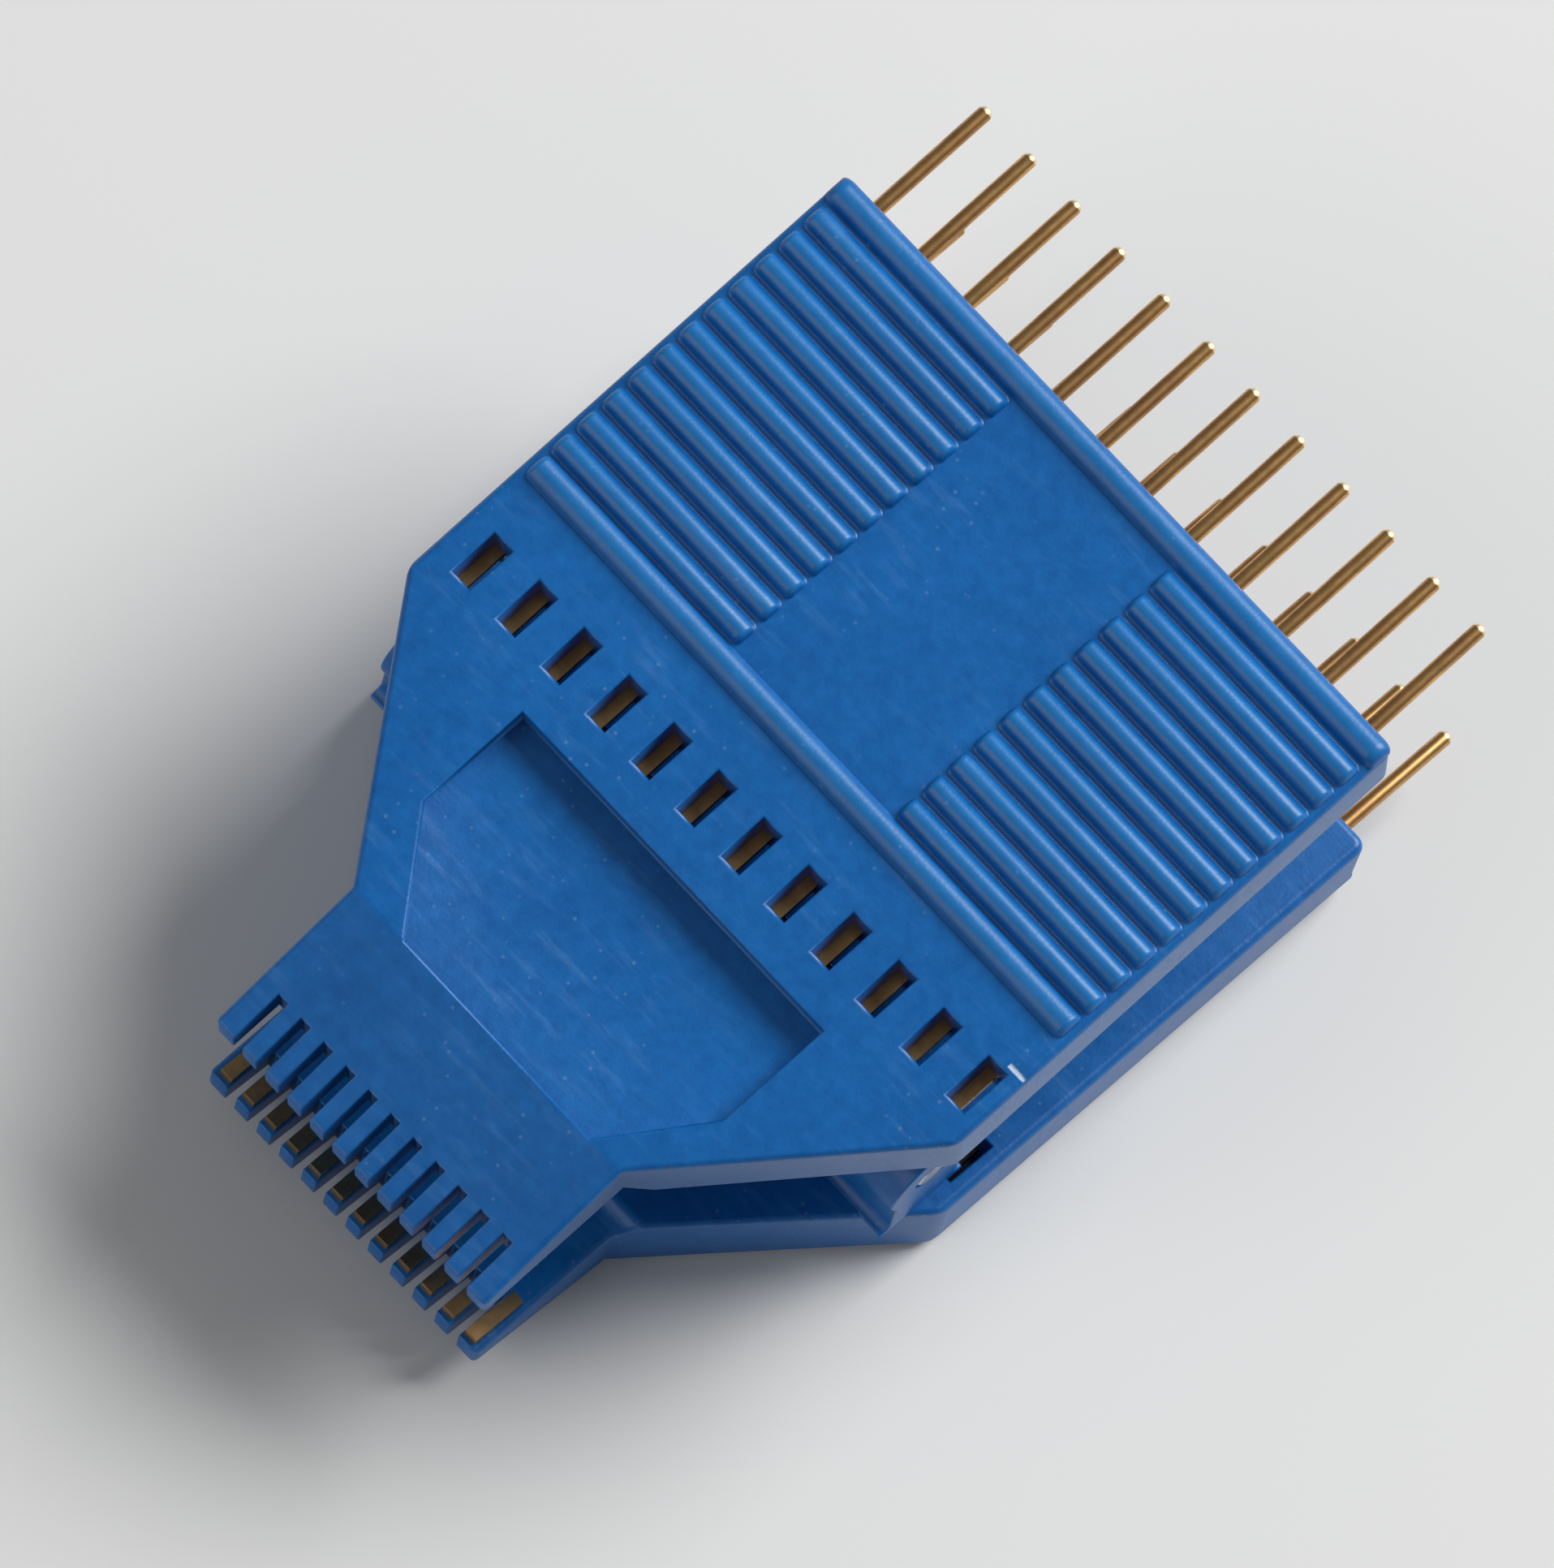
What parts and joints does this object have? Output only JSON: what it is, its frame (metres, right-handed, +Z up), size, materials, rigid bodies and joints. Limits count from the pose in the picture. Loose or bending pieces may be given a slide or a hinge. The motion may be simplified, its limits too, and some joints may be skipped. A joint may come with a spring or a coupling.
{
  "type": "soic test clip",
  "caption": "Spring-loaded test clip for two-row small-outline chips: two blue moulded halves on a hinge pin, ribbed grips, comb nose and gold header pins.",
  "frame": {"origin": "centre of the bounding box at table height, with the clip lying on its back half", "axes": "+X across the clip, +Y towards the header pins, +Z up, out of the front half"},
  "size_m": [0.031, 0.0472, 0.0194],
  "materials": {
    "blue_plastic": "satin moulded blue plastic with a fine spark-eroded texture",
    "contact_metal": "gold-plated contact metal, bright at the round tips",
    "pin_steel": "plain turned steel",
    "spring_steel": "drawn spring wire"
  },
  "bodies": {
    "back_half": {"back_shell": "blue_plastic", "hinge_pin": "pin_steel", "spring_left": "spring_steel", "spring_right": "spring_steel", "back_contact_1": "contact_metal", "back_contact_2": "contact_metal", "back_contact_3": "contact_metal", "back_contact_4": "contact_metal", "back_contact_5": "contact_metal", "back_contact_6": "contact_metal", "back_contact_7": "contact_metal", "back_contact_8": "contact_metal", "back_contact_9": "contact_metal", "back_contact_10": "contact_metal", "back_contact_11": "contact_metal", "back_contact_12": "contact_metal"},
    "front_half": {"front_shell": "blue_plastic", "front_contact_1": "contact_metal", "front_contact_2": "contact_metal", "front_contact_3": "contact_metal", "front_contact_4": "contact_metal", "front_contact_5": "contact_metal", "front_contact_6": "contact_metal", "front_contact_7": "contact_metal", "front_contact_8": "contact_metal", "front_contact_9": "contact_metal", "front_contact_10": "contact_metal", "front_contact_11": "contact_metal", "front_contact_12": "contact_metal"}
  },
  "joints": [
    {"name": "jaw", "type": "hinge", "parent": "back_half", "child": "front_half", "pos_m": [0, -0.00592, 0.00777], "axis": [-1, 0, 0], "range_deg": [0, 17], "stiffness_Nm_per_rad": 0.05, "springref_deg": -22.92, "deforming": ["spring_left", "spring_right"]}
  ]
}
